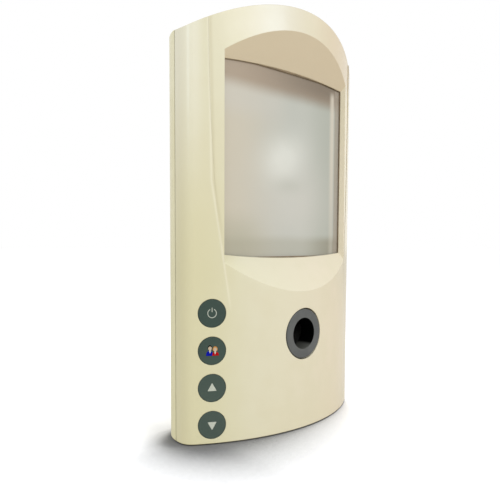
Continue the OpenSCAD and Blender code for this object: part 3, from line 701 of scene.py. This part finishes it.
def printed_figure(side, coat_u, coat_top, head, cloth, hair, hair_w, hair_end, layer):
    """Plain figure on the second button: coat, collar, neck, head, face and hair, each over the last."""
    u, v = head
    neck_top = v - CHIN_DOWN
    neck_foot = coat_top - NECK_SUNK
    coat = shoulder_rows(COAT_W, coat_top - COAT_FOOT, COAT_FOOT, coat_u)
    collar = bar_rows(u, coat_top - COLLAR_DOWN, *COLLAR_HALF, COLLAR_FOOT_HALF_W)
    neck = bar_rows(u, (neck_top + neck_foot) / 2, NECK_HALF_W, (neck_top - neck_foot) / 2)
    oval = egg_rows(head, HEAD_HALF_W, HEAD_HALF_H, HEAD_TAPER)
    face = [(egg_rows((u + way * EYE_OUT, v), *EYE_HALF, steps=8), 2) for way in (-1, 1)]
    face += [(bar_rows(u + way * EYE_OUT, v + BROW_UP, *BROW_HALF), 2) for way in (-1, 1)]
    face += [(bar_rows(u, v - NOSE_DOWN, *NOSE_HALF), 2), (bar_rows(u, v - MOUTH_DOWN, *MOUTH_HALF), 2)]
    crop = band_rows(head, HAIR_IN, (hair_w * HEAD_HALF_W, HAIR_OUT_H), -hair_end, 180 + hair_end, 28)
    parts = (("coat", cloth, [(coat, 6)]), ("collar", PALE_INK, [(collar, 3)]),
             ("neck", SKIN_INK, [(neck, 2)]), ("head", SKIN_INK, [(oval, 4)]),
             ("face", FEATURE_INK, face), ("hair", hair, [(crop, 4)]))
    for step, (part, ink, patches) in enumerate(parts):
        name = "figure_%s_%s" % (side, part)
        printed_mark(name, "program_button", ink, patches, layer + step * INK_STEP)


def printed_marks():
    """Ring and bar, two plain figures, and the two arrows."""
    ring = band_rows((0.0, 0.0), (RING_IN_R, RING_IN_R), (RING_OUT_R, RING_OUT_R),
                     90 + RING_GAP_DEG / 2, 450 - RING_GAP_DEG / 2, 44)
    bar = bar_rows(0.0, POWER_BAR_V, *POWER_BAR_HALF)
    printed_mark("power_mark", "power_button", PALE_INK, [(ring, 2), (bar, 2)])
    printed_figure("left", coat_u=-0.0026, coat_top=0.0001, head=(-0.0021, 0.0029),
                   cloth=COOL_INK, hair=DARK_INK, hair_w=1.10, hair_end=12, layer=0.0)
    printed_figure("right", coat_u=0.0034, coat_top=-0.0010, head=(0.0030, 0.0017),
                   cloth=WARM_INK, hair=FAIR_INK, hair_w=1.26, hair_end=48, layer=FIGURE_LAYERS * INK_STEP)
    for button, direction in (("up_button", 1), ("down_button", -1)):
        arrow = arrow_rows(ARROW_W, ARROW_H, direction)
        printed_mark(button.replace("button", "mark"), button, PALE_INK, [(arrow, 6)])


def turned(mesh, profile, base, axis, steps):
    """Lathes a closed profile of (radius, distance) pairs about an axis through base."""
    turn = Vector((0, 0, 1)).rotation_difference(Vector(axis)).to_matrix()
    rings = []
    for i in range(steps):
        angle = 2 * math.pi * i / steps
        way = Vector((math.cos(angle), math.sin(angle), 0))
        rings.append([mesh.verts.new(Vector(base) + turn @ (way * radius + Vector((0, 0, along))))
                      for radius, along in profile])
    for i in range(steps):
        one = rings[i]
        two = rings[(i + 1) % steps]
        for k in range(len(profile)):
            after = (k + 1) % len(profile)
            mesh.faces.new((one[k], one[after], two[after], two[k]))


def rounded(corner_from, corner, corner_to, radius, steps=5):
    """Points of a fillet at a profile corner."""
    corner = Vector(corner)
    back = (Vector(corner_from) - corner).normalized()
    onward = (Vector(corner_to) - corner).normalized()
    half = math.acos(max(-1.0, min(1.0, back.dot(onward)))) / 2
    reach = radius / math.tan(half)
    centre = corner + (back + onward).normalized() * (radius / math.sin(half))
    start = corner + back * reach - centre
    end = corner + onward * reach - centre
    return [tuple(centre + start.lerp(end, i / steps).normalized() * radius) for i in range(steps + 1)]


def nozzle_swivel_ball(steps=30):
    """Ball of the air nozzle with a softened rim and bore lip."""
    start = math.acos((BALL_FACE - BALL_CENTRE) / BALL_R)
    end = math.acos((BALL_TAIL - BALL_CENTRE) / BALL_R)
    sphere = []
    for i in range(2, steps):
        angle = start + (end - start) * i / steps
        sphere.append((BALL_R * math.sin(angle), BALL_CENTRE + BALL_R * math.cos(angle)))
    bore = (BORE_R, BALL_CENTRE)
    bore_face = (BORE_R, BALL_FACE)
    bore_tail = (BORE_R, BALL_TAIL)
    face_rim = (math.sqrt(BALL_R ** 2 - (BALL_CENTRE - BALL_FACE) ** 2), BALL_FACE)
    tail_rim = (BALL_TAIL_R, BALL_TAIL)
    profile = rounded(bore, bore_face, face_rim, BORE_LIP)
    profile += rounded(bore_face, face_rim, sphere[0], FACE_RIM)
    profile += sphere
    profile += rounded(sphere[-1], tail_rim, bore_tail, TAIL_RIM)
    profile += rounded(tail_rim, bore_tail, bore, TAIL_LIP)
    profile += [bore]
    mesh = bmesh.new()
    turned(mesh, profile, (0, FRONT_Y, NOZZLE_Z), (0, 1, 0), 128)
    piece = keep("nozzle_swivel_ball", mesh, NOZZLE, "nozzle_ball")
    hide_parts("nozzle_ball")


def rear_plan(arc_steps=40, flat_steps=20):
    """Points of the rear shell's outline seen from above, each with its outward direction."""
    middle_x = HALF_W - REAR_R
    middle_y = BACK_Y - REAR_R
    half = [(Vector((HALF_W, BLOCK_FRONT_Y)), Vector((1, 0)))]
    for i in range(arc_steps + 1):
        angle = math.pi / 2 * i / arc_steps
        out = Vector((math.cos(angle), math.sin(angle)))
        half.append((Vector((middle_x, middle_y)) + out * REAR_R, out))
    for i in range(1, flat_steps):
        half.append((Vector((middle_x * (1 - i / flat_steps), BACK_Y)), Vector((0, 1))))
    other = [(Vector((-point.x, point.y)), Vector((-out.x, out.y))) for point, out in reversed(half)]
    return half + [(Vector((0, BACK_Y)), Vector((0, 1)))] + other


def rounding_block(steps=8):
    """Closed block whose upper rim rounds off the rear shell's roof edge, less towards the seam."""
    mesh = bmesh.new()
    rings = [[] for _ in range(steps + 3)]
    for point, out in rear_plan():
        share = max(0.0, min(1.0, (point.y - SEAM_Y) / ROUNDING_FADE))
        radius = ROUNDING_R * share ** 2 * (3 - 2 * share) + ROUNDING_LEAST
        for k, ring in enumerate(rings):
            turn = math.pi / 2 * max(0, min(steps, k - 1)) / steps
            inset = radius * (1 - math.sin(turn)) - (BLOCK_WALL_SPARE if k > steps else 0.0)
            place = point - out * inset
            roof_rise = math.sqrt(ROOF_R ** 2 - min(place.x ** 2, HALF_W ** 2))
            height = BODY_H + BLOCK_ROOF_SPARE - ROOF_R + roof_rise - radius * (1 - math.cos(turn))
            if k == 0:
                height = BODY_H + BLOCK_OVERRUN
            if k == steps + 2:
                height = -BLOCK_OVERRUN
            ring.append(mesh.verts.new((place.x, place.y, height)))
    for one, two in zip(rings, rings[1:]):
        for i in range(len(one)):
            j = (i + 1) % len(one)
            mesh.faces.new((one[i], one[j], two[j], two[i]))
    mesh.faces.new(rings[0])
    mesh.faces.new(rings[-1])
    bmesh.ops.recalc_face_normals(mesh, faces=mesh.faces)
    return mesh


def rounded_rear_shell():
    """The rear shell with its roof edge rounded off."""
    mesh = bmesh.new()
    mesh.from_mesh(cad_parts["rear_shell"].data)
    bmesh.ops.remove_doubles(mesh, verts=mesh.verts, dist=BLANK_WELD)
    blank = placed("rear_shell_blank", mesh)
    block = placed("rounding_block", rounding_block())
    cut = blank.modifiers.new("rounding", "BOOLEAN")
    cut.operation = "INTERSECT"
    cut.solver = "MANIFOLD"
    cut.object = block
    bpy.context.view_layer.update()
    shaped = blank.evaluated_get(bpy.context.evaluated_depsgraph_get()).to_mesh()
    mesh = bmesh.new()
    mesh.from_mesh(shaped)
    bmesh.ops.remove_doubles(mesh, verts=mesh.verts, dist=SHELL_WELD)
    for thing in (block, blank):
        bpy.data.objects.remove(thing)
    piece = keep("rounded_rear_shell", mesh, BACK, "housing")
    even = piece.modifiers.new("even_shading", "WEIGHTED_NORMAL")
    even.keep_sharp = True
    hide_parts("rear_shell")


printed_marks()
nozzle_swivel_ball()
rounded_rear_shell()


# Studio

def photo_camera():
    """Camera whose level line, pitch and roll follow the photograph."""
    data = bpy.data.cameras.new("photo_view")
    data.sensor_width = SENSOR_MM
    data.lens = LENS_MM
    data.shift_y = SHIFT_UP
    data.clip_start = NEAR_CLIP
    level = Vector((math.sin(HEADING), math.cos(HEADING), 0))
    side = Vector((math.cos(HEADING), -math.sin(HEADING), 0))
    ahead = level * math.cos(PITCH) - Vector((0, 0, math.sin(PITCH)))
    down = -level * math.sin(PITCH) - Vector((0, 0, math.cos(PITCH)))
    right = side * math.cos(ROLL) + down * math.sin(ROLL)
    lower = -side * math.sin(ROLL) + down * math.cos(ROLL)
    turn = Matrix((right, -lower, -ahead)).transposed().to_4x4()
    camera = bpy.data.objects.new("photo_view", data)
    camera.matrix_world = Matrix.Translation(CAMERA_PLACE) @ turn
    bpy.context.scene.collection.objects.link(camera)
    bpy.context.scene.camera = camera


def soft_lamp(name, place, target, size, power, colour=PLAIN_LIGHT):
    """Round soft lamp that points at a target."""
    data = bpy.data.lights.new(name, "AREA")
    data.color = colour
    data.shape = "DISK"
    data.size = size
    data.energy = power
    lamp = bpy.data.objects.new(name, data)
    lamp.location = place
    lamp.rotation_euler = (Vector(target) - Vector(place)).to_track_quat("-Z", "Y").to_euler()
    bpy.context.scene.collection.objects.link(lamp)


def studio_paper(name):
    """White paper, shaded where the lamp's foot keeps the light from it, most of all on the left."""
    look = blank_finish(name)
    across = look.along("X")
    depth = look.along("Y")
    lean = look.node("CombineXYZ", None, SHADOW_LEAN)
    openness = look.node("AmbientOcclusion", {"samples": 24},
                         {"Distance": SHADOW_REACH, "Normal": lean}, out="AO")
    behind = look.ease(depth, -0.01, 0.04) * 0.1
    under_front = look.ease(across, -0.115, -0.09) * 0.02
    by_left_foot = look.spot(across, depth, (-0.137, -0.027), (0.02, 0.02)) * 0.012
    stops = [(at, (grey, grey, grey, 1.0)) for at, grey in SHADOW_GREYS]
    light = openness + behind + under_front - by_left_foot
    shadow = look.node("ValToRGB", {"stops": stops}, {"Fac": light})
    seen = look.blend(shadow, FLOOR_BLACK, FLOOR_WHITE)
    bounce = look.blend(look.seen_rays(), FLOOR_BOUNCE, FLOOR_MIRRORED)
    return look.surface({
        "Base Color": look.blend(look.node("LightPath", out="Is Camera Ray"), bounce, seen),
        "Roughness": 1.0,
        "Specular IOR Level": 0.0})


def studio_floor():
    """Wide round floor under the part."""
    mesh = bmesh.new()
    bmesh.ops.create_circle(mesh, cap_ends=True, segments=96, radius=FLOOR_R)
    floor = placed("studio_floor", mesh)
    floor.data.materials.append(studio_paper("studio_paper"))


def studio_sky():
    """Even sky, white where it is seen and a little dimmer as light."""
    world = bpy.data.worlds.new("studio_sky")
    bpy.context.scene.world = world
    look = Finish(world)
    shown = look.blend(look.seen_rays(), SKY_LIGHT, SKY_SEEN)
    sky = look.node("Background", None, {"Color": shown, "Strength": 1.0})
    look.node("OutputWorld", None, {"Surface": sky})


photo_camera()
studio_floor()
studio_sky()
soft_lamp("key_lamp", (0.0, -1.80, 1.48), BODY_MIDDLE, size=1.2, power=10.0)
soft_lamp("fill_lamp", (0.74, -2.02, 0.68), BODY_LOW, size=1.2, power=4.2)
soft_lamp("right_glint_lamp", (0.73, -1.90, 1.04), BODY_MIDDLE, size=0.6, power=3.0, colour=COOL_LIGHT)
soft_lamp("left_glint_lamp", (-1.89, -0.76, 1.04), BODY_MIDDLE, size=0.7, power=3.4, colour=COOL_LIGHT)
soft_lamp("side_lamp", (-1.0, 0.0, 1.25), LEFT_SHOULDER, size=0.5, power=3.2)
bpy.context.scene.view_settings.view_transform = "Standard"

bpy.context.view_layer.update()
